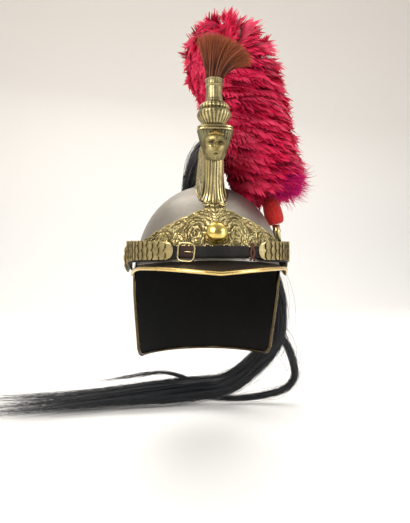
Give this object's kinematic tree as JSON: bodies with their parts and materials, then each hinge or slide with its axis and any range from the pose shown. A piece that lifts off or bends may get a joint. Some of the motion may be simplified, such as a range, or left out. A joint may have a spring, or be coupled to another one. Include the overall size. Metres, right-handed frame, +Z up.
{
  "type": "cuirassier helmet",
  "caption": "Steel cavalry helmet with brass plate, comb and mask, chin scales over the visor, red side plume, hair tuft and long black horsehair mane.",
  "frame": {"origin": "middle of the skull's rim plane, where a head holds the helmet", "axes": "+Z up through the skull, the visor looks along -Y, +X is the wearer's left"},
  "size_m": [0.5276, 0.3375, 0.562],
  "materials": {
    "steel": "raised steel sheet, satin polish with fine scratches",
    "rim_brass": "rubbed warm brass",
    "aged_brass": "aged brass, dark in the hollows and rubbed on the high points",
    "bright_brass": "polished brass",
    "scale_brass": "aged brass with rubbed edges",
    "leather": "black leather, satin",
    "thong_leather": "red-brown leather lace",
    "feathers": "dyed crimson feathers",
    "wool": "red wool",
    "tuft_hair": "red-brown hair",
    "mane_hair": "black horsehair"
  },
  "bodies": {
    "root": {"skull": "steel", "visor": "steel", "neck_guard": "steel", "visor_rim": "rim_brass", "neck_guard_rim": "rim_brass", "buckle_frame": "rim_brass", "buckle_tongue": "rim_brass", "front_plate": "aged_brass", "comb": "aged_brass", "comb_mask": "aged_brass", "tuft_holder": "aged_brass", "rosette_post_left": "aged_brass", "rosette_post_right": "aged_brass", "grenade_ball": "bright_brass", "rosette_left": "scale_brass", "rosette_right": "scale_brass", "plume_socket": "scale_brass", "scale_left_tip": "scale_brass", "scale_right_tip": "scale_brass", "scale_backing_left": "leather", "scale_backing_right": "leather", "front_strap": "leather", "strap_thong": "thong_leather", "plume": "feathers", "plume_olive": "wool", "tuft": "tuft_hair", "mane": "mane_hair", "scale_right_01": "scale_brass", "scale_right_02": "scale_brass", "scale_right_03": "scale_brass", "scale_right_04": "scale_brass", "scale_right_05": "scale_brass", "scale_right_06": "scale_brass", "scale_right_07": "scale_brass", "scale_right_08": "scale_brass", "scale_right_09": "scale_brass", "scale_right_10": "scale_brass", "scale_right_11": "scale_brass", "scale_right_12": "scale_brass", "scale_right_13": "scale_brass", "scale_right_14": "scale_brass", "scale_left_01": "scale_brass", "scale_left_02": "scale_brass", "scale_left_03": "scale_brass", "scale_left_04": "scale_brass", "scale_left_05": "scale_brass", "scale_left_06": "scale_brass", "scale_left_07": "scale_brass", "scale_left_08": "scale_brass", "scale_left_09": "scale_brass", "scale_left_10": "scale_brass", "scale_left_11": "scale_brass", "scale_left_12": "scale_brass", "scale_left_13": "scale_brass", "scale_left_14": "scale_brass"}
  },
  "joints": []
}
